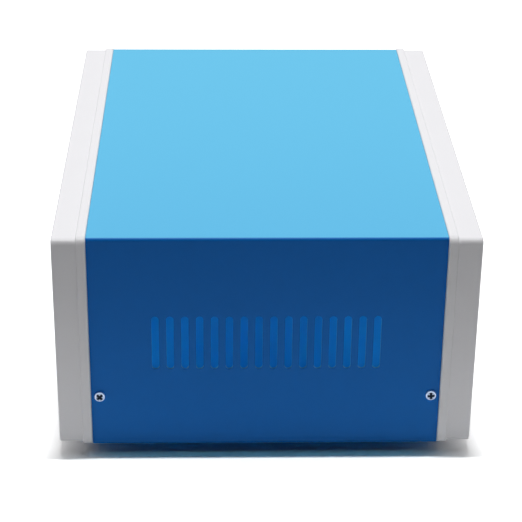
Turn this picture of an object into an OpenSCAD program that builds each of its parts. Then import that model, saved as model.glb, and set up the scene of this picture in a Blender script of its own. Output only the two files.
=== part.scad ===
// Instrument case: a folded steel cover and tray between two moulded bezels.
// Frame: X is the width, Y the depth with the front at -Y, Z is up from the surface it stands on.

/* [Case] */
// Width over the bezel bands
case_w = 250; // [200:1:320]
// Depth over the two bezel faces
case_d = 190; // [160:1:300]
// Height of the bezels, without the feet
case_h = 106; // [90:1:150]
// Gap between the bezels' underside and the surface below
foot_lift = 4; // [4:0.5:10]

/* [Sheet metal] */
// Thickness of the steel sheet
sheet_t = 1; // [0.8:0.1:1.5]
// Inner radius of a fold
fold_r = 0.3; // [0.2:0.1:1]
// How far the cover's sides lie inside the bezel band
cover_side_in = 1.8; // [1:0.1:2.2]
// How far the cover's top lies below the bezel band
cover_top_in = 0.6; // [0.4:0.1:1.2]
// How far the cover's lower edge stays above the bezels' underside
cover_edge_up = 0.2; // [0:0.1:1]
// How far the tray's underside stays above the bezels' underside
tray_up = 0.8; // [0.4:0.1:2]
// Height of the tray's side flanges, from its underside
side_flange_h = 34; // [30:0.5:38]
// Height of the tray's end flanges, from its underside
end_flange_h = 12; // [9:0.5:20]
// Distance from the tray's side to the end of an end flange
end_flange_in = 11; // [6:0.5:20]
// Width of the relief notch at the end of a fold
relief_w = 1.2; // [0.8:0.1:3]

/* [Side vents] */
// Slots in each side of the cover
vent_count = 16; // [4:1:18]
// Distance from one slot to the next
vent_pitch = 6.67; // [5.5:0.01:7]
// Width of a slot
vent_w = 3.4; // [2:0.1:4]
// Length of a slot, end to end
vent_l = 27; // [12:0.1:28]
// Height of the slots' middle above the cover's lower edge
vent_up = 53.1; // [52:0.1:60]

/* [Floor vents] */
// Slots in each bank of the tray's floor
floor_vent_count = 12; // [2:1:14]
// Distance from one floor slot to the next
floor_vent_pitch = 8; // [6:0.1:8]
// Width of a floor slot
floor_vent_w = 3.4; // [2:0.1:4]
// Length of a floor slot, end to end
floor_vent_l = 26; // [12:0.5:30]
// Distance from the case's side to the middle of a bank
floor_vent_in = 45; // [42:0.5:50]

/* [Bezels] */
// Depth of a bezel from its face to the shoulder that the cover meets
bezel_d = 15.2; // [14:0.1:20]
// Width of the proud band next to the cover
band_w = 4.35; // [2:0.05:7]
// How far the outer section lies inside the band
band_step = 1; // [0.4:0.1:1.5]
// Radius of the band's outline at its corners
corner_r = 3.6; // [3.4:0.1:8]
// Rounding of the band's edge next to the cover
band_edge_r = 0.7; // [0.2:0.05:0.8]
// Rounding of the bezel's front edge
face_edge_r = 0.8; // [0.4:0.1:1.8]
// Width of the frame round the panel window, from the band's outline
frame_w = 10.3; // [10.1:0.1:16]
// Depth of the window, from the bezel's face to the panel
window_d = 4; // [3.5:0.1:6]
// Corner radius of the window
window_r = 7; // [6.5:0.1:9]
// Rounding of the window's front edge
window_edge_r = 1.2; // [0.4:0.1:2]
// Distance from the band's outline to the pocket that takes the panel
pocket_in = 4.8; // [4.6:0.1:5]
// How far the rim reaches under the cover
rim_l = 8; // [4:0.5:12]
// Corner radius of the rim
rim_r = 2.5; // [2.2:0.1:3]
// Depth of the lead-in at the rim's end
rim_lead = 0.6; // [0.2:0.1:1]
// Radius of the bosses that the bezel screws enter
boss_r = 3.5; // [3:0.1:3.7]
// Height of the bezel screws above the bezels' underside
bezel_screw_up = 5.4; // [5.2:0.1:5.6]
// Distance from the case's side to a bezel screw
bezel_screw_in = 25; // [22:0.5:40]

/* [Panels] */
// Thickness of a panel
panel_t = 2; // [1.5:0.1:3]
// Radius of the corner pads beside the panel
pad_r = 3; // [2.6:0.1:3.2]

/* [Feet] */
// Radius of a foot
foot_r = 9; // [7:0.5:12]
// Rounding of a foot's lower edge
foot_edge_r = 1.2; // [0.4:0.1:1.6]
// Thickness of a foot above its screw head
foot_grip = 2.2; // [1.5:0.1:2.8]
// Distance from the case's side to a foot's middle
foot_in_x = 25; // [20:0.5:30]
// Distance from the case's front or rear face to a foot's middle
foot_in_y = 33; // [30:0.5:36]

/* [Fasteners] */
// Radius of the machine screws
screw_r = 1.5; // [1.2:0.05:1.6]
// Radius of a pan head
head_r = 2.4; // [2.3:0.05:2.8]
// Height of a pan head
head_h = 1.8; // [1.4:0.1:1.8]
// Room round a screw head that is sunk in a foot
head_room = 1; // [0.5:0.1:1.5]
// Width of the cross recess
recess_w = 0.85; // [0.5:0.05:1]
// Span of the cross recess
recess_span = 3; // [2:0.1:3.2]
// Depth of the cross recess
recess_d = 1; // [0.5:0.1:1.2]
// Distance from the cover's end to a cover screw
cover_screw_in = 3.9; // [3.8:0.1:8]
// Height of the cover screws above the cover's lower edge
cover_screw_up = 25.6; // [18:0.1:26]
// Length of a cover screw under its head
cover_screw_l = 6; // [6:0.5:8]
// Length of a foot screw under its head
foot_screw_l = 7; // [7:0.5:10]
// Radius of the screws that cut their own thread in plastic
plastic_screw_r = 1.3; // [1.1:0.05:1.4]
// Length of a bezel screw under its head
bezel_screw_l = 8; // [5:0.5:9]
// Length of a panel screw under its washer
panel_screw_l = 4.6; // [4:0.1:4.8]
// Radius of a panel screw's washer face
washer_r = 4.5; // [4.3:0.1:5]
// Thickness of a panel screw's washer face
washer_t = 0.8; // [0.5:0.1:1.2]
// Distance across the flats of a nut
nut_af = 5.5; // [5:0.1:6]
// Height of a nut
nut_h = 2.4; // [1.8:0.1:2.6]

/* [Fits] */
// Gap between the cover's ends and the bezels' shoulders
end_gap = 0.1; // [0.05:0.05:0.4]
// Gap between sheets that slide over each other, and round the rim
slide_gap = 0.2; // [0.1:0.05:0.3]
// Gap round a panel in its pocket
panel_gap = 0.3; // [0.1:0.05:0.4]
// Gap round a screw in its clearance hole
hole_gap = 0.2; // [0.1:0.05:0.3]
// Gap round a screw in its nut or in its threaded hole
thread_gap = 0.05; // [0.02:0.01:0.08]
// How far a pad or a boss stops short of what its screw clamps
clamp_gap = 0.1; // [0.05:0.05:0.2]

/* [Hidden] */
$fn = 64;
over = 1;
blue = [0.07, 0.43, 0.72];
bezel_white = [0.86, 0.86, 0.87];
panel_white = [0.82, 0.82, 0.83];
foot_black = [0.08, 0.08, 0.09];
zinc = [0.75, 0.77, 0.8];

// Heights
bottom_z = foot_lift;
middle_z = bottom_z + case_h / 2;
tray_z = bottom_z + tray_up;
floor_z = tray_z + sheet_t;
cover_low_z = bottom_z + cover_edge_up;
cover_top_z = bottom_z + case_h - cover_top_in;
flange_top_z = tray_z + side_flange_h;

// Outer radius of a fold
bend_r = sheet_t + fold_r;

// Half widths, from the middle outwards
cover_x = case_w / 2 - cover_side_in;
tray_x = cover_x - sheet_t - slide_gap;
flange_x = tray_x - sheet_t;
end_flange_x = tray_x - end_flange_in;
bezel_screw_x = case_w / 2 - bezel_screw_in;
foot_x = case_w / 2 - foot_in_x;

// Half depths, from the middle outwards
shoulder_y = case_d / 2 - bezel_d;
cover_y = shoulder_y - end_gap;
tray_y = cover_y - slide_gap;
cover_screw_y = cover_y - cover_screw_in;
foot_y = case_d / 2 - foot_in_y;

// A bezel's own frame: x across, y up from its middle, z outwards from its shoulder
rim_side_in = cover_side_in + sheet_t + slide_gap;
rim_top_in = cover_top_in + sheet_t + slide_gap;
panel_front = bezel_d - window_d;
panel_back = panel_front - panel_t;
pad_in = pocket_in + washer_r + panel_gap;
pad_x = case_w / 2 - pad_in;
pad_y = case_h / 2 - pad_in;
boss_y = bezel_screw_up - case_h / 2;
boss_end = tray_y - shoulder_y + clamp_gap;
rim_low = flange_top_z + rim_r - middle_z;

// Fasteners
hole_r = screw_r + hole_gap;
nut_bore_r = screw_r + thread_gap;
pilot_r = plastic_screw_r + thread_gap;
pilot_skin = 1;
foot_h = tray_z;

ENDS = [["front", -1], ["rear", 1]];
CORNERS = [
    ["front_left", -1, -1],
    ["front_right", 1, -1],
    ["rear_left", -1, 1],
    ["rear_right", 1, 1]
];
PAD_CORNERS = [
    ["top_left", -1, 1],
    ["top_right", 1, 1],
    ["bottom_left", -1, -1],
    ["bottom_right", 1, -1]
];
CORNER_PARTS = ["foot", "foot_screw", "foot_nut", "cover_screw", "cover_nut", "bezel_screw"];

// Flat shapes

// A slot with round ends, long along y
module obround(l, w) {
    square([w, l - w], center = true);
    for (end = [-1, 1])
        translate([0, end * (l - w) / 2]) circle(w / 2);
}

// What lies outside a rounding of radius r, at a corner whose material is at -x and -y
module corner_waste(r) {
    difference() {
        translate([-r, -r]) square(r + over);
        translate([-r, -r]) circle(r);
    }
}

// A sheet folded to a channel that opens upwards, outer width w and height h, standing on y = 0
module channel(w, h) {
    difference() {
        translate([-w / 2, 0]) square([w, h]);
        translate([-w / 2 + sheet_t, sheet_t + fold_r]) square([w - 2 * sheet_t, h]);
        translate([-w / 2 + bend_r, sheet_t]) square([w - 2 * bend_r, h]);
        for (side = [-1, 1]) {
            translate([side * (w / 2 - bend_r), bend_r]) circle(fold_r);
            translate([side * w / 2, 0]) mirror([side < 0 ? 1 : 0, 0]) mirror([0, 1]) corner_waste(bend_r);
        }
    }
}

// Solid helpers

// Carries a profile round a rounded rectangle: its x runs outwards from the corner's centre, its y is z
module carried(w, h, r) {
    for (turn = [0:3]) {
        across = turn % 2 == 0 ? w : h;
        along = turn % 2 == 0 ? h : w;
        rotate([0, 0, 90 * turn]) {
            translate([across / 2 - r, along / 2 - r, 0])
                rotate_extrude(angle = 90) children();
            translate([across / 2 - r, along / 2 - r, 0])
                rotate([90, 0, 0]) linear_extrude(along - 2 * r) children();
        }
    }
}

// The middle of a carried shape, between its corner centres
module core(w, h, r, low, high) {
    translate([r - w / 2, r - h / 2, low]) cube([w - 2 * r, h - 2 * r, high - low]);
}

// A pan head with a cross recess, its seat at z = 0 and its top upwards
module pan_head() {
    dome_r = (head_r * head_r + head_h * head_h) / head_h;
    difference() {
        intersection() {
            cylinder(r = head_r, h = head_h);
            translate([0, 0, head_h - dome_r]) sphere(dome_r);
        }
        for (turn = [0, 90])
            rotate([0, 0, turn])
                translate([-recess_span / 2, -recess_w / 2, head_h - recess_d])
                    cube([recess_span, recess_w, recess_d + over]);
    }
}

// A pan-head screw of radius r, its shank running down from z = 0
module pan_screw(r, l) {
    color(zinc) {
        pan_head();
        translate([0, 0, -l]) cylinder(r = r, h = l);
    }
}

// A hexagon nut that stands on z = 0
module hex_nut() {
    color(zinc) difference() {
        cylinder(r = nut_af / 2 / cos(30), h = nut_h, $fn = 6);
        translate([0, 0, -over]) cylinder(r = nut_bore_r, h = nut_h + 2 * over);
    }
}

// Sheet-metal pieces

module side_vents() {
    for (i = [0 : vent_count - 1])
        translate([(i - (vent_count - 1) / 2) * vent_pitch, 0]) obround(vent_l, vent_w);
}

// The cover: a folded channel over the tray, with vents and screw holes in both sides
module top_cover() {
    color(blue) difference() {
        translate([0, cover_y, cover_top_z])
            rotate([90, 0, 0]) mirror([0, 1, 0])
                linear_extrude(2 * cover_y) channel(2 * cover_x, cover_top_z - cover_low_z);
        for (side = [-1, 1])
            translate([side * cover_x, 0, cover_low_z])
                rotate([90, 0, 90]) {
                    translate([0, vent_up, -2 * sheet_t]) linear_extrude(4 * sheet_t) side_vents();
                    for (end = [-1, 1])
                        translate([end * cover_screw_y, cover_screw_up, -2 * sheet_t])
                            cylinder(r = hole_r, h = 4 * sheet_t);
                }
    }
}

// An end flange's section: the fold from the floor, then the upright leg, with the floor at -x
module end_fold() {
    translate([fold_r, bend_r]) square([sheet_t, end_flange_h - bend_r]);
    intersection() {
        translate([0, bend_r]) difference() {
            circle(bend_r);
            circle(fold_r);
        }
        square(bend_r);
    }
}

module floor_vents() {
    for (i = [0 : floor_vent_count - 1])
        translate([0, (i - (floor_vent_count - 1) / 2) * floor_vent_pitch])
            rotate([0, 0, 90]) obround(floor_vent_l, floor_vent_w);
}

// The tray: floor, tall side flanges inside the cover and low end flanges that hold the bezels
module base_tray() {
    fold_y = tray_y - bend_r;
    color(blue) difference() {
        union() {
            difference() {
                translate([0, tray_y, tray_z])
                    rotate([90, 0, 0]) linear_extrude(2 * tray_y) channel(2 * tray_x, side_flange_h);
                for (end = [-1, 1])
                    translate([-end_flange_x - relief_w, end > 0 ? fold_y : -fold_y - bend_r - over, tray_z - over])
                        cube([2 * (end_flange_x + relief_w), bend_r + over, sheet_t + bend_r + 2 * over]);
            }
            for (turn = [0, 180])
                rotate([0, 0, turn]) translate([-end_flange_x, fold_y, tray_z])
                    rotate([90, 0, 90]) linear_extrude(2 * end_flange_x) end_fold();
        }
        for (side = [-1, 1]) {
            translate([side * (case_w / 2 - floor_vent_in), 0, tray_z - over])
                linear_extrude(sheet_t + 2 * over) floor_vents();
            for (end = [-1, 1]) {
                translate([side * foot_x, end * foot_y, tray_z - over])
                    cylinder(r = hole_r, h = sheet_t + 2 * over);
                translate([side * tray_x, end * cover_screw_y, cover_low_z + cover_screw_up])
                    rotate([0, 90, 0]) cylinder(r = hole_r, h = 4 * sheet_t, center = true);
                translate([side * bezel_screw_x, end * tray_y, bottom_z + bezel_screw_up])
                    rotate([90, 0, 0]) cylinder(r = plastic_screw_r + hole_gap, h = 4 * sheet_t, center = true);
            }
        }
    }
}

// Moulded pieces

// A bezel's outer section in the carried frame: the proud band, the step and the rounded front edge
module bezel_section() {
    difference() {
        square([corner_r, band_w]);
        translate([corner_r, 0]) mirror([0, 1]) corner_waste(band_edge_r);
        translate([corner_r, band_w]) corner_waste(band_edge_r);
    }
    difference() {
        square([corner_r - band_step, bezel_d]);
        translate([corner_r - band_step, bezel_d]) corner_waste(face_edge_r);
    }
}

// The window's section: straight, then flared round the front edge
module window_section() {
    square([window_r, bezel_d + over]);
    difference() {
        translate([0, bezel_d - window_edge_r]) square([window_r + window_edge_r, window_edge_r + over]);
        translate([window_r + window_edge_r, bezel_d - window_edge_r]) circle(window_edge_r);
    }
}

// The rim's section, with a lead-in at its free end
module rim_section() {
    polygon([
        [0, -rim_l],
        [rim_r - rim_lead, -rim_l],
        [rim_r, 2 * rim_lead - rim_l],
        [rim_r, over],
        [0, over]
    ]);
}

// A corner pad's outline, or the panel's notch round it when gap is given
module pad_outline(x, y, gap) {
    reach = pad_in - pocket_in + over;
    r = pad_r + gap;
    translate([x * pad_x, y * pad_y]) {
        circle(r);
        translate([x > 0 ? 0 : -reach, y > 0 ? -r : 0]) square([reach, r]);
        translate([x > 0 ? -r : 0, y > 0 ? 0 : -reach]) square([r, reach]);
        translate([x > 0 ? 0 : -reach, y > 0 ? 0 : -reach]) square(reach);
    }
}

// A lower boss's outline, or the panel's notch round it when gap is given
module boss_outline(x, gap) {
    r = boss_r + gap;
    drop = bezel_screw_up - pocket_in + over;
    translate([x * bezel_screw_x, boss_y]) {
        circle(r);
        translate([-r, -drop]) square([2 * r, drop]);
    }
}

module bezel() {
    rim_w = case_w - 2 * rim_side_in;
    rim_h = case_h - 2 * rim_top_in;
    window_w = case_w - 2 * frame_w;
    window_h = case_h - 2 * frame_w;
    color(bezel_white) difference() {
        union() {
            difference() {
                union() {
                    carried(case_w, case_h, corner_r) bezel_section();
                    core(case_w, case_h, corner_r, 0, bezel_d);
                    difference() {
                        union() {
                            carried(rim_w, rim_h, rim_r) rim_section();
                            core(rim_w, rim_h, rim_r, -rim_l, over);
                        }
                        translate([-case_w / 2, -case_h, -rim_l - over])
                            cube([case_w, case_h + rim_low, rim_l + over]);
                    }
                }
                translate([0, 0, -rim_l - over])
                    linear_extrude(rim_l + over + panel_front)
                        square([case_w - 2 * pocket_in, case_h - 2 * pocket_in], center = true);
                carried(window_w, window_h, window_r) window_section();
                core(window_w, window_h, window_r, 0, bezel_d + over);
            }
            for (x = [-1, 1]) {
                translate([0, 0, panel_back + clamp_gap])
                    linear_extrude(panel_t) {
                        pad_outline(x, 1, 0);
                        pad_outline(x, -1, 0);
                    }
                translate([0, 0, boss_end]) linear_extrude(panel_front - boss_end + clamp_gap)
                    boss_outline(x, 0);
            }
        }
        for (x = [-1, 1]) {
            for (y = [-1, 1])
                translate([x * pad_x, y * pad_y, 0]) cylinder(r = pilot_r, h = bezel_d - pilot_skin);
            translate([x * bezel_screw_x, boss_y, boss_end - over])
                cylinder(r = pilot_r, h = bezel_screw_l + 2 * over);
        }
    }
}

module panel() {
    color(panel_white) translate([0, 0, panel_back]) linear_extrude(panel_t) difference() {
        square([case_w - 2 * (pocket_in + panel_gap), case_h - 2 * (pocket_in + panel_gap)], center = true);
        for (x = [-1, 1]) {
            pad_outline(x, 1, panel_gap);
            pad_outline(x, -1, panel_gap);
            boss_outline(x, panel_gap);
        }
    }
}

// Puts a piece from a bezel's own frame at the front, or turned round at the rear
module at_end(end) {
    rotate([0, 0, end < 0 ? 0 : 180])
        translate([0, -shoulder_y, middle_z]) rotate([90, 0, 0]) children();
}

// Feet and fasteners

// A turned foot with its screw head sunk in from below
module foot(x, y) {
    sunk = foot_h - foot_grip;
    color(foot_black) translate([x * foot_x, y * foot_y, 0]) rotate_extrude() difference() {
        square([foot_r, foot_h]);
        translate([foot_r, 0]) mirror([0, 1]) corner_waste(foot_edge_r);
        translate([-over, -over]) square([over + hole_r, foot_h + 2 * over]);
        translate([-over, -over]) square([over + head_r + head_room, over + sunk]);
    }
}

module foot_screw(x, y) {
    translate([x * foot_x, y * foot_y, foot_h - foot_grip])
        rotate([180, 0, 0]) pan_screw(screw_r, foot_screw_l);
}

module foot_nut(x, y) {
    translate([x * foot_x, y * foot_y, floor_z]) hex_nut();
}

module cover_screw(x, y) {
    translate([x * cover_x, y * cover_screw_y, cover_low_z + cover_screw_up])
        rotate([0, 90 * x, 0]) rotate([0, 0, 45]) pan_screw(screw_r, cover_screw_l);
}

module cover_nut(x, y) {
    translate([x * flange_x, y * cover_screw_y, cover_low_z + cover_screw_up])
        rotate([0, -90 * x, 0]) hex_nut();
}

module bezel_screw(x, y) {
    translate([x * bezel_screw_x, y * (tray_y - sheet_t), bottom_z + bezel_screw_up])
        rotate([90 * y, 0, 0]) pan_screw(plastic_screw_r, bezel_screw_l);
}

module panel_screw(x, y) {
    translate([x * pad_x, y * pad_y, panel_back]) rotate([180, 0, 0]) {
        color(zinc) cylinder(r = washer_r, h = washer_t);
        color(zinc) translate([0, 0, -panel_screw_l]) cylinder(r = plastic_screw_r, h = panel_screw_l);
        translate([0, 0, washer_t]) color(zinc) pan_head();
    }
}

top_cover();
base_tray();
at_end(-1) bezel();  // front_bezel
at_end(1) bezel();  // rear_bezel
at_end(-1) panel();  // front_panel
at_end(1) panel();  // rear_panel
for (c = CORNERS) {
    foot(c[1], c[2]);
    foot_screw(c[1], c[2]);
    foot_nut(c[1], c[2]);
    cover_screw(c[1], c[2]);
    cover_nut(c[1], c[2]);
    bezel_screw(c[1], c[2]);
}
for (e = ENDS)
    for (p = PAD_CORNERS)
        at_end(e[1]) panel_screw(p[1], p[2]);
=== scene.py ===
"""Finishes, screws and studio for the instrument case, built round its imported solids."""

import math
from typing import NamedTuple

import bpy
import numpy as np
from bpy.props import FloatProperty, FloatVectorProperty, PointerProperty
from mathutils import Matrix, Vector


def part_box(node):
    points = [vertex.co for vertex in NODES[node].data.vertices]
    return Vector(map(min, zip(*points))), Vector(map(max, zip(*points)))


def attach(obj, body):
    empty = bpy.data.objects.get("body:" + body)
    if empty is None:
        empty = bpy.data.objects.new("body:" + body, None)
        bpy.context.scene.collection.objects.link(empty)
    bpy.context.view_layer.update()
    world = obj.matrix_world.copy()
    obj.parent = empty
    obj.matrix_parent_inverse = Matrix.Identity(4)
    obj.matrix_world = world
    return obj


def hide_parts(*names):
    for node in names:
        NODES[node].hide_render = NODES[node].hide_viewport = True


bl_info = {
    "name": "Instrument case finishes",
    "version": (1, 0, 0),
    "blender": (4, 5, 0),
    "location": "View3D > Sidebar > Instrument case",
    "description": "Powder coat, plastic, rubber and zinc for a folded instrument case, with a studio",
    "category": "Object",
}

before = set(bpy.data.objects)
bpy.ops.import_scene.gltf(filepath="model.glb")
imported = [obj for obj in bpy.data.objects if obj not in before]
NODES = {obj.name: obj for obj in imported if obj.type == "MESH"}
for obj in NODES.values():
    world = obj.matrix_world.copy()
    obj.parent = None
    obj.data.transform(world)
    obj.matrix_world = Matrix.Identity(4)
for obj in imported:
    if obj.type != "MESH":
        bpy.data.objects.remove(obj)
bpy.context.view_layer.update()


# Sizes and colours that a user changes


class SheetFinish(bpy.types.PropertyGroup):
    """The powder coat on the cover and the tray."""

    colour: FloatVectorProperty(
        name="Colour",
        description="Colour of the powder coat",
        subtype="COLOR",
        size=3,
        min=0.0,
        max=1.0,
        default=(0.0, 0.147, 0.545),
    )
    # Painted light: the tray is given a paler blue than the cover, so that the inside seen through the
    # slots looks lit
    inside: FloatVectorProperty(
        name="Inside colour",
        description="Colour of the tray, whose thinner coat is paler",
        subtype="COLOR",
        size=3,
        min=0.0,
        max=1.0,
        default=(0.01, 0.4, 1.0),
    )
    # Painted sheen: a paler cyan matt colour that the cover is mixed towards at a glancing angle,
    # painting its top paler
    painted_sheen: FloatVectorProperty(
        name="Sheen colour",
        description="Colour that the coat turns to where it is seen at a glancing angle",
        subtype="COLOR",
        size=3,
        min=0.0,
        max=1.0,
        default=(0.23, 0.84, 1.0),
    )
    painted_sheen_share: FloatProperty(
        name="Sheen share",
        description="Share of the sheen at a glancing angle",
        default=0.53,
        min=0.0,
        max=1.0,
        subtype="FACTOR",
    )
    peel: FloatProperty(
        name="Peel size",
        description="Distance between the soft ripples that the coat flows into",
        default=0.0018,
        min=0.0005,
        max=0.01,
        subtype="DISTANCE",
        unit="LENGTH",
    )
    peel_depth: FloatProperty(
        name="Peel depth",
        description="Height of the ripples",
        default=0.000012,
        min=0.0,
        max=0.0005,
        subtype="DISTANCE",
        unit="LENGTH",
    )
    gloss: FloatProperty(
        name="Roughness",
        description="Roughness of the coat where it is even",
        default=0.42,
        min=0.0,
        max=1.0,
        subtype="FACTOR",
    )


class PlasticFinish(bpy.types.PropertyGroup):
    """The moulded bezels and the panels in their windows."""

    bezel: FloatVectorProperty(
        name="Bezel colour",
        description="Colour of the moulded bezels",
        subtype="COLOR",
        size=3,
        min=0.0,
        max=1.0,
        default=(0.79, 0.785, 0.81),
    )
    panel: FloatVectorProperty(
        name="Panel colour",
        description="Colour of the front and rear panels",
        subtype="COLOR",
        size=3,
        min=0.0,
        max=1.0,
        default=(0.94, 0.94, 0.95),
    )
    panel_clearness: FloatProperty(
        name="Panel clearness",
        description="Share of the light that the milky panels let through",
        default=0.74,
        min=0.0,
        max=1.0,
        subtype="FACTOR",
    )
    grain: FloatProperty(
        name="Grain size",
        description="Distance between the pits of the moulded texture",
        default=0.0007,
        min=0.0001,
        max=0.005,
        subtype="DISTANCE",
        unit="LENGTH",
    )
    grain_depth: FloatProperty(
        name="Grain depth",
        description="Depth of the pits",
        default=0.00002,
        min=0.0,
        max=0.0005,
        subtype="DISTANCE",
        unit="LENGTH",
    )


class FittingFinish(bpy.types.PropertyGroup):
    """Feet, screws and nuts."""

    rubber: FloatVectorProperty(
        name="Rubber colour",
        description="Colour of the feet",
        subtype="COLOR",
        size=3,
        min=0.0,
        max=1.0,
        default=(0.022, 0.022, 0.024),
    )
    zinc: FloatVectorProperty(
        name="Zinc colour",
        description="Colour of the plated screws and nuts",
        subtype="COLOR",
        size=3,
        min=0.0,
        max=1.0,
        default=(0.5, 0.6, 0.78),
    )
    # Painted shade: colour that a screw's recess and the middle of its dome are darkened towards, for
    # shade and a dark reflection
    painted_shade: FloatVectorProperty(
        name="Recess colour",
        description="Colour at the bottom of a screw's cross recess",
        subtype="COLOR",
        size=3,
        min=0.0,
        max=1.0,
        default=(0.012, 0.018, 0.03),
    )
    recess_span: FloatProperty(
        name="Recess span",
        description="Span of the cross recess in a screw head",
        default=0.0034,
        min=0.002,
        max=0.0036,
        subtype="DISTANCE",
        unit="LENGTH",
    )
    recess_width: FloatProperty(
        name="Recess width",
        description="Width of an arm of the cross recess",
        default=0.00115,
        min=0.0005,
        max=0.0012,
        subtype="DISTANCE",
        unit="LENGTH",
    )
    recess_depth: FloatProperty(
        name="Recess depth",
        description="Depth of the cross recess in its middle",
        default=0.0013,
        min=0.0005,
        max=0.0015,
        subtype="DISTANCE",
        unit="LENGTH",
    )
    machine_pitch: FloatProperty(
        name="Machine thread",
        description="Pitch of the thread on the cover and foot screws",
        default=0.0005,
        min=0.0003,
        max=0.001,
        subtype="DISTANCE",
        unit="LENGTH",
    )
    plastic_pitch: FloatProperty(
        name="Plastic thread",
        description="Pitch of the thread on the screws that cut into the bezels",
        default=0.0011,
        min=0.0006,
        max=0.002,
        subtype="DISTANCE",
        unit="LENGTH",
    )


class Studio(bpy.types.PropertyGroup):
    """Camera, lamps and the white tent behind the case."""

    azimuth: FloatProperty(
        name="Azimuth",
        description="Side from which the camera looks; 90 degrees looks at the case's right side",
        default=math.radians(88.260),
        subtype="ANGLE",
        unit="ROTATION",
    )
    elevation: FloatProperty(
        name="Elevation",
        description="Angle of the camera above the horizon",
        default=math.radians(26.531),
        subtype="ANGLE",
        unit="ROTATION",
    )
    roll: FloatProperty(
        name="Roll",
        description="Turn of the camera about its own axis",
        default=math.radians(0.651),
        subtype="ANGLE",
        unit="ROTATION",
    )
    distance: FloatProperty(
        name="Distance",
        description="Distance from the camera to the point it looks at",
        default=0.88867,
        min=0.1,
        subtype="DISTANCE",
        unit="LENGTH",
    )
    lens: FloatProperty(
        name="Lens",
        description="Focal length on a sensor 36 mm wide",
        default=119.040,
        min=10.0,
        unit="CAMERA",
    )
    aim: FloatVectorProperty(
        name="Aim",
        description="Point that the camera looks at",
        size=3,
        default=(0.007922, 0.000670, 0.040880),
        subtype="XYZ",
        unit="LENGTH",
    )
    tent: FloatProperty(
        name="Tent",
        description="Brightness of the white walls behind the case, where 1 is white",
        default=0.9,
        min=0.0,
    )
    dim: FloatProperty(
        name="Dim side",
        description="Brightness of the dark room on the camera's side, where 1 is white",
        default=0.005,
        min=0.0,
    )
    lamp: FloatProperty(
        name="Lamp",
        description="Light of the overhead lamp on a flat top, where 1 is white",
        default=0.58,
        min=0.0,
    )
    glow: FloatProperty(
        name="Table glow",
        description="Brightness of the low panel that lights the case's side, where 1 is white",
        default=0.16,
        min=0.0,
    )


# Shader nodes


class Signal:
    """A shader socket that adds a Math node for each operator it meets."""

    def __init__(self, nodes, socket):
        self.nodes = nodes
        self.socket = socket

    def __add__(self, other):
        return self.nodes.math("ADD", self, other)

    __radd__ = __add__

    def __mul__(self, other):
        return self.nodes.math("MULTIPLY", self, other)

    __rmul__ = __mul__


class Nodes:
    """The nodes of a material or a world, which start empty."""

    def __init__(self, owner):
        owner.use_nodes = True
        self.owner = owner
        self.tree = owner.node_tree
        self.tree.nodes.clear()

    def add(self, kind, settings=None, inputs=None, output=0):
        """Adds a node, gives it settings, then values and links, and returns one of its outputs."""
        made = self.tree.nodes.new(kind)
        for name, value in (settings or {}).items():
            setattr(made, name, value)
        for name, value in (inputs or {}).items():
            if isinstance(value, Signal):
                self.tree.links.new(value.socket, made.inputs[name])
            else:
                made.inputs[name].default_value = value
        return Signal(self, made.outputs[output]) if made.outputs else None

    def math(self, operation, first, second):
        return self.add("ShaderNodeMath", {"operation": operation}, {0: first, 1: second})

    def object_place(self):
        return self.add("ShaderNodeTexCoord", output="Object")

    def ray(self, kind):
        """1 for the rays of one kind and 0 for the others."""
        return self.add("ShaderNodeLightPath", output=f"Is {kind} Ray")

    def noise(self, size, detail=2.0, roughness=0.5):
        """Smooth noise whose lumps lie about size metres apart."""
        return self.add(
            "ShaderNodeTexNoise",
            inputs={
                "Vector": self.object_place(),
                "Scale": 1.0 / size,
                "Detail": detail,
                "Roughness": roughness,
            },
        )

    def fade(self, value, starts, ends, first, last):
        """Goes smoothly from first to last while the value goes from starts to ends."""
        return self.add(
            "ShaderNodeMapRange",
            {"interpolation_type": "SMOOTHSTEP"},
            {"Value": value, "From Min": starts, "From Max": ends, "To Min": first, "To Max": last},
        )

    def tint(self, colour, factor, other):
        """Colour, moved towards the other colour by a varying factor."""
        return self.add(
            "ShaderNodeMix",
            {"data_type": "RGBA"},
            {"Factor": factor, "A": colour, "B": other},
            output="Result",
        )

    def wander(self, colour, shades, factor):
        """Colour, between its darker and its lighter shade by a varying factor."""
        darker, lighter = shades
        return self.tint(shade(colour, darker), factor, shade(colour, lighter))

    def bump(self, height, depth):
        """Normals of a surface that rises by depth metres where the height goes from 0 to 1."""
        return self.add("ShaderNodeBump", inputs={"Height": height, "Distance": depth, "Strength": 1.0})

    def mix(self, factor, first, second):
        """The first shader, moved towards the second by a varying factor."""
        return self.add("ShaderNodeMixShader", inputs={0: factor, 1: first, 2: second})

    def matt(self, colour):
        """A surface that scatters light evenly."""
        return self.add("ShaderNodeBsdfDiffuse", inputs={"Color": colour})

    def coat(self, inputs):
        """A surface that mirrors as well, whose other sockets keep their defaults."""
        return self.add("ShaderNodeBsdfPrincipled", inputs=inputs)

    def finish(self, shader, output="ShaderNodeOutputMaterial"):
        """Links the shader to the output and returns the material or world."""
        self.add(output, inputs={"Surface": shader})
        return self.owner


def shade(colour, share):
    """A colour with alpha, scaled by a share."""
    return (colour[0] * share, colour[1] * share, colour[2] * share, 1.0)


def between(low, high, share):
    """The number that lies a varying share of the way from low to high."""
    return low + (high - low) * share


def blend(first, share, second):
    """A fixed share of the first varying number and the rest of the second."""
    return first * share + second * (1.0 - share)


# Finishes. Shades are the shares of a colour that it wanders between, roughness goes from the least to
# the most, mirror is the specular level, where 0.5 is usual, and sizes are in metres

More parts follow.
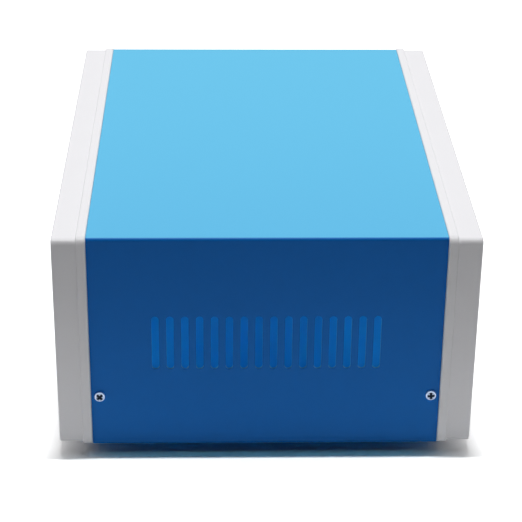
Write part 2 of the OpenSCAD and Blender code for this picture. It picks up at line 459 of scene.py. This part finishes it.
# Powder coat: how far its roughness strays, grains to a ripple of peel, ripples to a cloud, and how
# much of its shade and of its bump the peel makes
COAT_SHADES = (0.965, 1.035)
COAT_STRAY = 0.05
COAT_MIRROR = 0.12
GRAINS_TO_PEEL = 6
PEELS_TO_CLOUD = 30
PEEL_IN_SHADE = 0.5
PEEL_IN_BUMP = 0.75
# Slants at which the painted sheen begins and is full, where 0 is seen square on and 1 edge on
PAINTED_SHEEN_SLANTS = (0.1, 0.7)

# Plastic: pits to a cloud, and how much of its shade the pits make
PLASTIC_SHADES = (0.975, 1.02)
PITS_TO_CLOUD = 40
PITS_IN_SHADE = 0.4
BEZEL_ROUGHNESS = (0.36, 0.5)
PANEL_ROUGHNESS = 0.95
PANEL_IOR = 1.15

# Rubber: size and depth of its pits, size of its patches of bloom, and how much of its shade they make
RUBBER_SHADES = (0.8, 1.6)
RUBBER_ROUGHNESS = (0.72, 0.92)
RUBBER_MIRROR = 0.35
RUBBER_PITS = 0.0006
RUBBER_PIT_DEPTH = 0.00005
RUBBER_BLOOM = 0.006
BLOOM_IN_SHADE = 0.7

# Zinc: size of its dull patches, size and depth of its grain, and the attribute of a screw's painted
# shade
ZINC_SHADES = (0.9, 1.1)
ZINC_ROUGHNESS = (0.24, 0.38)
ZINC_PATCHES = 0.0012
ZINC_GRAIN = 0.00015
ZINC_GRAIN_DEPTH = 0.000004
PAINTED_SHADE = "painted_shade"


def powder_coat(name, colour, painted_sheen_colour, props):
    """Baked powder coat: broad soft peel with a fine grain, a colour that pales on the peel, and a
    painted sheen, a paler matt colour mixed in where it is seen at a slant."""
    nodes = Nodes(bpy.data.materials.new(name))
    peel = nodes.noise(props.peel, detail=1.0)
    grain = nodes.noise(props.peel / GRAINS_TO_PEEL)
    cloud = nodes.noise(props.peel * PEELS_TO_CLOUD, detail=3.0)
    smoothest = props.gloss - COAT_STRAY
    roughest = props.gloss + COAT_STRAY
    coat = nodes.coat(
        {
            "Base Color": nodes.wander(colour, COAT_SHADES, blend(peel, PEEL_IN_SHADE, cloud)),
            "Roughness": between(smoothest, roughest, grain),
            "Specular IOR Level": COAT_MIRROR,
            "Normal": nodes.bump(blend(peel, PEEL_IN_BUMP, grain), props.peel_depth),
        }
    )
    # Painted sheen: the coat is mixed towards a matt sheen colour as the slant grows, so a top seen at
    # a slant is painted paler
    slant = nodes.add("ShaderNodeLayerWeight", inputs={"Blend": 0.5}, output="Facing")
    glancing = nodes.fade(slant, *PAINTED_SHEEN_SLANTS, 0.0, props.painted_sheen_share)
    return nodes.finish(nodes.mix(glancing, coat, nodes.matt(shade(painted_sheen_colour, 1.0))))


def moulded_plastic(nodes, colour, props):
    """The fine pits of a spark-eroded mould, and the sockets that bezels and panels share: the pits
    in the surface, and a colour that is cloudy and pales with the pits."""
    pits = nodes.noise(props.grain, roughness=0.6)
    cloud = nodes.noise(props.grain * PITS_TO_CLOUD)
    return pits, {
        "Base Color": nodes.wander(colour, PLASTIC_SHADES, blend(pits, PITS_IN_SHADE, cloud)),
        "Normal": nodes.bump(pits, props.grain_depth),
    }


def bezel_plastic(props):
    """Satin plastic, rougher on its pits."""
    nodes = Nodes(bpy.data.materials.new("bezel_plastic_finish"))
    pits, sockets = moulded_plastic(nodes, props.bezel, props)
    return nodes.finish(nodes.coat({**sockets, "Roughness": between(*BEZEL_ROUGHNESS, pits)}))


def panel_plastic(props):
    """Milky plastic that lets light through but shows nothing behind it."""
    nodes = Nodes(bpy.data.materials.new("panel_plastic_finish"))
    sockets = moulded_plastic(nodes, props.panel, props)[1]
    return nodes.finish(
        nodes.coat(
            {
                **sockets,
                "Roughness": PANEL_ROUGHNESS,
                "Transmission Weight": props.panel_clearness,
                "IOR": PANEL_IOR,
            }
        )
    )


def foot_rubber(props):
    """Black rubber with a dusty bloom in patches."""
    nodes = Nodes(bpy.data.materials.new("foot_rubber_finish"))
    pits = nodes.noise(RUBBER_PITS, detail=3.0, roughness=0.6)
    bloom = nodes.noise(RUBBER_BLOOM, detail=3.0)
    patches = blend(bloom, BLOOM_IN_SHADE, pits)
    return nodes.finish(
        nodes.coat(
            {
                "Base Color": nodes.wander(props.rubber, RUBBER_SHADES, patches),
                "Roughness": between(*RUBBER_ROUGHNESS, bloom),
                "Specular IOR Level": RUBBER_MIRROR,
                "Normal": nodes.bump(pits, RUBBER_PIT_DEPTH),
            }
        )
    )


def zinc_plate(props):
    """Blue zinc plate with dull patches, darkened by painted shade in a screw's recess and a painted
    dark reflection on its dome.
    """
    nodes = Nodes(bpy.data.materials.new("zinc_finish"))
    patch = nodes.noise(ZINC_PATCHES, detail=3.0)
    grain = nodes.noise(ZINC_GRAIN)
    # Painted shade in the recess and a painted dark reflection on the dome darken the plate
    painted_shade = nodes.add("ShaderNodeAttribute", {"attribute_name": PAINTED_SHADE}, output="Fac")
    plate = nodes.wander(props.zinc, ZINC_SHADES, patch)
    return nodes.finish(
        nodes.coat(
            {
                "Base Color": nodes.tint(plate, painted_shade, shade(props.painted_shade, 1.0)),
                "Metallic": 1.0,
                "Roughness": between(*ZINC_ROUGHNESS, patch),
                "Normal": nodes.bump(grain, ZINC_GRAIN_DEPTH),
            }
        )
    )


def nodes_of(*starts):
    """CAD nodes whose names begin with one of the words."""
    found = [name for name in sorted(NODES) if name.startswith(starts)]
    if not found:
        raise RuntimeError("the frame has no node that starts with " + " or ".join(starts))
    return found


def give(material, *names):
    """Puts a material on CAD nodes."""
    for name in names:
        for slot in NODES[name].material_slots:
            slot.material = material


# Screws, with sizes in metres


class ScrewKind(NamedTuple):
    """One family of screws. Its head faces away from the frame's origin where faces is 1 and
    towards it where faces is -1. Pitch names the property that holds the pitch of its thread, and
    washer_r and washer_t are the radius and thickness of the washer face under its head."""

    faces: tuple
    shank: float
    pitch: str
    thread_depth: float
    washer_r: float = 0.0
    washer_t: float = 0.0


SCREW_KINDS = {
    "cover_screw_": ScrewKind((1, 0, 0), 0.0015, "machine_pitch", 0.0003),
    "foot_screw_": ScrewKind((0, 0, -1), 0.0015, "machine_pitch", 0.0003),
    "bezel_screw_": ScrewKind((0, -1, 0), 0.0013, "plastic_pitch", 0.00035),
    "panel_screw_": ScrewKind((0, -1, 0), 0.0013, "plastic_pitch", 0.00035, 0.0045, 0.0008),
}

# Radius and height of every head, as in the part's source, and radius of its rounded edge
HEAD_R = 0.0024
HEAD_H = 0.0018
EDGE = 0.13 * HEAD_R

# Length of the cone at the tip and radius of its end, in radii of the shank
CONE = 0.6
TIP = 0.45

# Steepness of the thread's flanks, where 1 leaves no flat on its crest
FLANK = 1.3

# Cross recess: radius of its round middle in bar widths, width of its sloping walls in half bar widths,
# and the share of its depth by which its bottom rises at the ends of the bars
RECESS_MIDDLE = 0.8
RECESS_WALL = 0.28
RECESS_RISE = 0.45

# Painted shade: full from this share of the recess's depth on, and a painted dark reflection on the
# dome that ends between two shares of the head's radius
FULL_BELOW = 0.625
PAINTED_REFLECTION = 0.35
PAINTED_REFLECTION_ENDS = (0.7, 0.8)

# Points round a screw, and rings on its dome, on the edge of its head and on each pitch of its thread
SIDES = 80
DOME_RINGS = 44
EDGE_RINGS = 5
PITCH_RINGS = 6

# Degrees that a cross is turned by: two screws have their own, and in a family the others go on from
# the first by equal steps
CROSS_TURNS = {"cover_screw_front_right": 45.0, "cover_screw_rear_right": 4.0}
FIRST_TURN = 20.0
NEXT_TURN = 37.0

# Angle between faces past which an edge looks sharp
SHARP = math.radians(38)


def sink(x, y, props):
    """How far each point of a head lies below the dome: two crossed bars and a round middle, whose
    walls slope down over a seventh of a bar's width, and whose bottom rises towards the ends of the
    bars."""
    half_span, half_width = props.recess_span / 2, props.recess_width / 2
    along = np.minimum(half_width - np.abs(y), half_span - np.abs(x))
    across = np.minimum(half_width - np.abs(x), half_span - np.abs(y))
    out = np.hypot(x, y)
    inside = np.maximum(np.maximum(along, across), RECESS_MIDDLE * props.recess_width - out)
    wall = np.clip(inside / (RECESS_WALL * half_width), 0.0, 1.0)
    return wall * props.recess_depth * (1.0 - RECESS_RISE * np.clip(out / half_span, 0.0, 1.0))


def thread(height, turn, pitch, depth):
    """How far each point of a shank lies below its crests: a triangle wave of the height less the
    turn, in pitches, with flat crests, which fades out over a pitch at the first and at the last
    ring."""
    wave = np.abs(2.0 * np.mod(height / pitch - turn / (2.0 * math.pi), 1.0) - 1.0)
    under_head = np.clip((height[0] - height) / pitch, 0.0, 1.0)
    over_tip = np.clip((height - height[-1]) / pitch, 0.0, 1.0)
    return depth * (1.0 - np.clip(FLANK * wave, 0.0, 1.0)) * under_head * over_tip


def screw_outline(kind, length, pitch):
    """Radii and heights down the outline of a screw, from its axis and from the underside of its
    head: a flat dome that is part of a sphere, a quarter turn round its edge, the side of the head,
    the washer face if there is one, the shank and the end of its cone. The slice says which of them
    are the shank's."""
    sphere = (HEAD_R ** 2 + HEAD_H ** 2) / HEAD_H
    dome_r = np.linspace(HEAD_R / DOME_RINGS, HEAD_R - EDGE, DOME_RINGS)
    dome_h = HEAD_H - sphere + np.sqrt(sphere ** 2 - dome_r ** 2)
    bend = np.linspace(1.0 / EDGE_RINGS, 1.0, EDGE_RINGS) * math.pi / 2
    edge_r = HEAD_R - EDGE + EDGE * np.sin(bend)
    edge_h = dome_h[-1] - EDGE * (1.0 - np.cos(bend))
    side_r, side_h = [HEAD_R], [0.0]
    if kind.washer_t:
        side_r += [kind.washer_r - EDGE, kind.washer_r, kind.washer_r]
        side_h += [0.0, -EDGE, -kind.washer_t]
    rings = int(PITCH_RINGS * (length - kind.washer_t) / pitch)
    shank_h = np.linspace(-kind.washer_t, CONE * kind.shank - length, rings)
    radii = np.concatenate([dome_r, edge_r, side_r, np.full(rings, kind.shank), [TIP * kind.shank]])
    heights = np.concatenate([dome_h, edge_h, side_h, shank_h, [-length]])
    return radii, heights, slice(len(radii) - 1 - rings, len(radii) - 1)


def screw_surface(kind, length, turned, props):
    """Points, faces and painted shade of a screw: its outline carried round its axis, with the thread
    cut into the shank and the cross recess sunk into the dome, and a pole on the axis at each end."""
    pitch = getattr(props, kind.pitch)
    radii, heights, shank = screw_outline(kind, length, pitch)
    dome = slice(0, DOME_RINGS)
    turn = np.arange(SIDES) * 2.0 * math.pi / SIDES
    r, turns = np.meshgrid(radii, turn, indexing="ij")
    h = np.repeat(heights[:, None], SIDES, 1)
    r[shank] -= thread(h[shank], turns[shank], pitch, kind.thread_depth)
    sunk = np.zeros_like(h)
    from_cross = turns[dome] - turned
    sunk[dome] = sink(r[dome] * np.cos(from_cross), r[dome] * np.sin(from_cross), props)
    points = np.stack([r * np.cos(turns), r * np.sin(turns), h - sunk], -1).reshape(-1, 3)
    poles = [[0.0, 0.0, HEAD_H - props.recess_depth], [0.0, 0.0, -length]]

    # Painted reflection: the middle of the dome is darkened as if it mirrored the dark room
    painted_reflection = np.zeros_like(h)
    inner, outer = PAINTED_REFLECTION_ENDS
    painted_reflection[dome] = PAINTED_REFLECTION * np.clip((outer - r[dome] / HEAD_R) / (outer - inner), 0.0, 1.0)
    # Painted shade fills the recess, and the painted reflection lies on the dome
    painted_shade = np.clip(np.maximum(sunk / (FULL_BELOW * props.recess_depth), painted_reflection), 0.0, 1.0)
    return np.concatenate([points, poles]), ring_faces(len(r)), np.append(painted_shade, [1.0, 0.0])


def ring_faces(rings):
    """Quads between neighbouring rings, and a fan of triangles from each end ring to its pole."""
    first = np.arange(SIDES)
    then = np.roll(first, -1)
    base = (np.arange(rings - 1) * SIDES)[:, None]
    quads = np.stack([base + first, base + SIDES + first, base + SIDES + then, base + then], -1)
    last = (rings - 1) * SIDES
    top = np.stack([np.full(SIDES, rings * SIDES), first, then], -1)
    low = np.stack([np.full(SIDES, rings * SIDES + 1), last + then, last + first], -1)
    return quads.reshape(-1, 4).tolist() + top.tolist() + low.tolist()


def place_screw(node, low, high, axis, surface, finish):
    """Stands a screw in place of a CAD node with its head facing along the axis, its head's top at
    the end of the node's box, and its own axis through the box's middle."""
    points, faces, painted_shade = surface
    side = np.roll(axis, -1)
    up = np.cross(axis, side)
    seat = np.where(axis == 0, (low + high) / 2, np.where(axis > 0, high, low) - axis * HEAD_H)
    mesh = bpy.data.meshes.new("threaded_" + node)
    mesh.from_pydata((seat + points @ np.stack([side, up, axis])).tolist(), [], faces)
    # The painted shade is stored on the points for the zinc to read
    mesh.attributes.new(PAINTED_SHADE, "FLOAT", "POINT").data.foreach_set("value", painted_shade.astype(np.float32))
    mesh.shade_smooth()
    mesh.set_sharp_from_angle(angle=SHARP)
    mesh.materials.append(finish)
    screw = bpy.data.objects.new("threaded_" + node, mesh)
    bpy.context.scene.collection.objects.link(screw)
    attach(screw, "root")
    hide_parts(node)


# Pieces


class FinishSheets(bpy.types.Operator):
    """Powder coat the folded cover and tray"""

    bl_idname = "instrument_case.finish_sheets"
    bl_label = "Powder coat the sheets"

    def execute(self, context):
        props = context.scene.case_sheets
        # The cover's coat carries the painted sheen
        give(powder_coat("cover_coat", props.colour, props.painted_sheen, props), "top_cover")
        # The tray gets the paler colour that paints light inside the case
        give(powder_coat("tray_painted_light_coat", props.inside, props.inside, props), "base_tray")
        return {"FINISHED"}


class FinishBezels(bpy.types.Operator):
    """Give both bezels their moulded texture"""

    bl_idname = "instrument_case.finish_bezels"
    bl_label = "Texture the bezels"

    def execute(self, context):
        give(bezel_plastic(context.scene.case_plastics), "front_bezel", "rear_bezel")
        return {"FINISHED"}


class FinishPanels(bpy.types.Operator):
    """Give both panels their milky white plastic"""

    bl_idname = "instrument_case.finish_panels"
    bl_label = "Finish the panels"

    def execute(self, context):
        give(panel_plastic(context.scene.case_plastics), "front_panel", "rear_panel")
        return {"FINISHED"}


class FinishFeet(bpy.types.Operator):
    """Give the feet their black rubber"""

    bl_idname = "instrument_case.finish_feet"
    bl_label = "Finish the feet"

    def execute(self, context):
        give(foot_rubber(context.scene.case_fittings), *nodes_of("foot_front_", "foot_rear_"))
        return {"FINISHED"}


class FinishFasteners(bpy.types.Operator):
    """Zinc plate the nuts and put threaded screws in place"""

    bl_idname = "instrument_case.finish_fasteners"
    bl_label = "Finish the fasteners"

    def execute(self, context):
        props = context.scene.case_fittings
        zinc = zinc_plate(props)
        give(zinc, *nodes_of("foot_nut_", "cover_nut_"))
        for family, kind in SCREW_KINDS.items():
            for index, node in enumerate(nodes_of(family)):
                low, high = (np.array(corner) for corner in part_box(node))
                axis = np.array(kind.faces) * np.sign(low + high)
                length = abs(axis @ (high - low)) - HEAD_H
                turned = math.radians(CROSS_TURNS.get(node, FIRST_TURN + NEXT_TURN * index))
                surface = screw_surface(kind, length, turned, props)
                place_screw(node, low, high, axis, surface, zinc)
        return {"FINISHED"}


# Studio, with sizes in metres

WHITE = (1.0, 1.0, 1.0)
FLOOR_HALF = 6.0
# Distances from the case's middle between which the floor turns from near to far
FLOOR_FADE = (0.16, 0.8)
# How pale the floor is to the case, near and far, and to the camera where it is near
FLOOR_TO_CASE = (0.95, 0.12)
FLOOR_TO_CAMERA = 1.6
# Share of the camera's floor that mirror and glass see
FLOOR_IN_MIRROR = 0.4

# Parts along X of the directions between which the bright walls give way to the dark room
TENT_END = (-0.12, 0.04)

# Where the lamps stand, and their sides
OVERHEAD_PLACE = (0.012, 0.0, 2.0)
OVERHEAD_SIZE = (0.03, 0.3)
TABLE_PLACE = (0.2, 0.04, 0.002)
TABLE_SIZE = (0.14, 0.4)

SENSOR_MM = 36.0


def floor_material():
    """White floor that keeps the shadow, paler to the camera than to the case, plain white far off."""
    nodes = Nodes(bpy.data.materials.new("studio_floor"))
    place = nodes.object_place()
    reach = nodes.add("ShaderNodeVectorMath", {"operation": "LENGTH"}, {0: place}, "Value")
    far = nodes.fade(reach, *FLOOR_FADE, 0.0, 1.0)
    near_level, far_level = FLOOR_TO_CASE
    to_case = nodes.matt(nodes.tint(shade(WHITE, near_level), far, shade(WHITE, far_level)))
    backdrop = nodes.add("ShaderNodeEmission", inputs={"Color": shade(WHITE, 1.0), "Strength": 1.0})
    to_camera = nodes.mix(far, nodes.matt(shade(WHITE, FLOOR_TO_CAMERA)), backdrop)
    mirrored = FLOOR_IN_MIRROR * nodes.ray("Glossy") + FLOOR_IN_MIRROR * nodes.ray("Transmission")
    return nodes.finish(nodes.mix(nodes.ray("Camera") + mirrored, to_case, to_camera))


def tent_world(props):
    """Bright walls behind the case and a dark room before it; camera, mirror and glass see white."""
    nodes = Nodes(bpy.data.worlds.new("studio_world"))
    direction = nodes.add("ShaderNodeTexCoord", output="Generated")
    along_x = nodes.add("ShaderNodeSeparateXYZ", inputs={"Vector": direction}, output="X")
    level = nodes.fade(along_x, *TENT_END, props.tent, props.dim)
    white = shade(WHITE, 1.0)
    room = nodes.add("ShaderNodeBackground", inputs={"Color": white, "Strength": level})
    backdrop = nodes.add("ShaderNodeBackground", inputs={"Color": white, "Strength": 1.0})
    seen = nodes.ray("Camera") + nodes.ray("Glossy") + nodes.ray("Transmission")
    return nodes.finish(nodes.mix(seen, room, backdrop), "ShaderNodeOutputWorld")


def area_lamp(name, place, size, energy, tilt=0.0):
    """A rectangular lamp that the camera doesn't see. It faces down, or up if tilted half a turn."""
    lamp = bpy.data.lights.new(name, "AREA")
    lamp.shape = "RECTANGLE"
    lamp.size, lamp.size_y = size
    lamp.energy = energy
    holder = bpy.data.objects.new(name, lamp)
    holder.visible_camera = False
    holder.location = place
    holder.rotation_euler = (tilt, 0.0, 0.0)
    bpy.context.scene.collection.objects.link(holder)


def light_case(props):
    """A lamp high above, whose energy grows with its height squared so that a flat top keeps its
    light, and a low panel on the table that faces up, whose energy grows with its area so that it
    keeps its brightness."""
    overhead = props.lamp * math.pi ** 2 * OVERHEAD_PLACE[2] ** 2
    area_lamp("overhead_lamp", OVERHEAD_PLACE, OVERHEAD_SIZE, overhead)
    table = props.glow * math.pi * TABLE_SIZE[0] * TABLE_SIZE[1]
    area_lamp("table_glow", TABLE_PLACE, TABLE_SIZE, table, tilt=math.pi)


def aim_camera(props):
    """The camera stands back from its aim by azimuth and elevation, then rolls about its own axis."""
    turn, rise = props.azimuth, props.elevation
    back = Vector((math.sin(turn) * math.cos(rise), -math.cos(turn) * math.cos(rise), math.sin(rise)))
    right = Vector((math.cos(turn), math.sin(turn), 0.0))
    axes = Matrix((right, back.cross(right), back)).transposed().to_4x4()
    lens = bpy.data.cameras.new("studio_camera")
    lens.sensor_width = SENSOR_MM
    lens.lens = props.lens
    camera = bpy.data.objects.new("studio_camera", lens)
    place = Vector(props.aim) + back * props.distance
    camera.matrix_world = Matrix.Translation(place) @ axes @ Matrix.Rotation(props.roll, 4, "Z")
    bpy.context.scene.collection.objects.link(camera)
    bpy.context.scene.camera = camera


def lay_floor():
    """One square of floor."""
    mesh = bpy.data.meshes.new("studio_floor")
    low, high = -FLOOR_HALF, FLOOR_HALF
    corners = [(low, low, 0.0), (high, low, 0.0), (high, high, 0.0), (low, high, 0.0)]
    mesh.from_pydata(corners, [], [(0, 1, 2, 3)])
    mesh.materials.append(floor_material())
    floor = bpy.data.objects.new("studio_floor", mesh)
    bpy.context.scene.collection.objects.link(floor)


class BuildStudio(bpy.types.Operator):
    """Lay the white floor, set the lamps and the camera"""

    bl_idname = "instrument_case.build_studio"
    bl_label = "Build the studio"

    def execute(self, context):
        props = context.scene.case_studio
        lay_floor()
        context.scene.world = tent_world(props)
        light_case(props)
        aim_camera(props)
        context.scene.view_settings.view_transform = "Standard"
        return {"FINISHED"}


# Add-on

GROUPS = {
    "case_sheets": SheetFinish,
    "case_plastics": PlasticFinish,
    "case_fittings": FittingFinish,
    "case_studio": Studio,
}
OPERATORS = (FinishSheets, FinishBezels, FinishPanels, FinishFeet, FinishFasteners, BuildStudio)


class CasePanel(bpy.types.Panel):
    """Sizes, colours and build buttons of the instrument case"""

    bl_idname = "VIEW3D_PT_instrument_case"
    bl_label = "Instrument case"
    bl_space_type = "VIEW_3D"
    bl_region_type = "UI"
    bl_category = "Instrument case"

    def draw(self, context):
        for name in GROUPS:
            group = getattr(context.scene, name)
            box = self.layout.box()
            for value in group.bl_rna.properties.keys():
                if value not in ("rna_type", "name"):
                    box.prop(group, value)
        for operator in OPERATORS:
            self.layout.operator(operator.bl_idname)


def register():
    for name, group in GROUPS.items():
        bpy.utils.register_class(group)
        setattr(bpy.types.Scene, name, PointerProperty(type=group))
    for kind in (*OPERATORS, CasePanel):
        bpy.utils.register_class(kind)


def unregister():
    for kind in reversed((*OPERATORS, CasePanel)):
        bpy.utils.unregister_class(kind)
    for name, group in GROUPS.items():
        delattr(bpy.types.Scene, name)
        bpy.utils.unregister_class(group)


def main():
    """Registers the add-on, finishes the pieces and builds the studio."""
    register()
    bpy.ops.instrument_case.finish_sheets()
    bpy.ops.instrument_case.finish_bezels()
    bpy.ops.instrument_case.finish_panels()
    bpy.ops.instrument_case.finish_feet()
    bpy.ops.instrument_case.finish_fasteners()
    bpy.ops.instrument_case.build_studio()
    bpy.context.view_layer.update()


if __name__ == "__main__":
    main()
